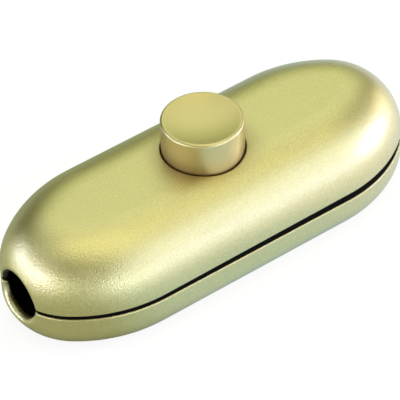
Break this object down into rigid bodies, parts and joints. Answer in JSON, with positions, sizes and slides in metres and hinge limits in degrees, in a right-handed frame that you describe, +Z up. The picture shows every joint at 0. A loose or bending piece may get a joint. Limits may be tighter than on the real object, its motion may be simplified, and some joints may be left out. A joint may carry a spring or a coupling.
{
  "type": "inline cord switch",
  "caption": "Inline push-button cord switch: rounded two-shell housing with a cord inlet at each end, a push button on top and a rotary push-push contact inside.",
  "frame": {"origin": "middle of the flat underside", "axes": "+X along the body from the near end to the far end, +Y across it, +Z up through the button"},
  "size_m": [0.0672, 0.0264, 0.0226],
  "materials": {
    "gold_lacquer": "champagne gold metallic lacquer with a fine sand grain, satin",
    "button_lacquer": "champagne gold metallic lacquer, smooth satin",
    "carrier_plastic": "black moulded thermoset",
    "rotor_plastic": "natural acetal",
    "clamp_plastic": "black moulded plastic",
    "brass": "plain brass",
    "contact_silver": "silver contact metal",
    "screw_steel": "zinc-plated steel",
    "spring_steel": "drawn spring wire"
  },
  "bodies": {
    "housing": {"upper_shell": "gold_lacquer", "lower_shell": "gold_lacquer", "return_spring": "spring_steel", "cord_clamp_near": "clamp_plastic", "cord_clamp_far": "clamp_plastic", "housing_screws": "screw_steel", "switch_carrier": "carrier_plastic", "live_strip_near": "brass", "live_strip_far": "brass", "fixed_tips": "contact_silver", "neutral_link": "brass", "live_terminal_near": "brass", "live_terminal_far": "brass", "neutral_terminal_near": "brass", "neutral_terminal_far": "brass", "terminal_screws": "screw_steel", "clamp_screws": "screw_steel"},
    "button": {"push_button": "button_lacquer"},
    "rotor": {"ratchet_rotor": "rotor_plastic", "contact_bridge": "brass", "bridge_tips": "contact_silver"}
  },
  "joints": [
    {"name": "button_press", "type": "slide", "parent": "housing", "child": "button", "axis": [0, 0, -1], "range_m": [0, 0.003], "stiffness_N_per_m": 900, "springref_m": -0.002, "deforming": ["return_spring"]},
    {"name": "rotor_turn", "type": "hinge", "parent": "housing", "child": "rotor", "pos_m": [0, 0, 0.006], "axis": [0, 0, 1], "range_deg": [0, 45]}
  ],
  "couplings": [
    {"joint": "rotor_turn", "follows": "button_press", "rad_per_m": 261.79}
  ]
}
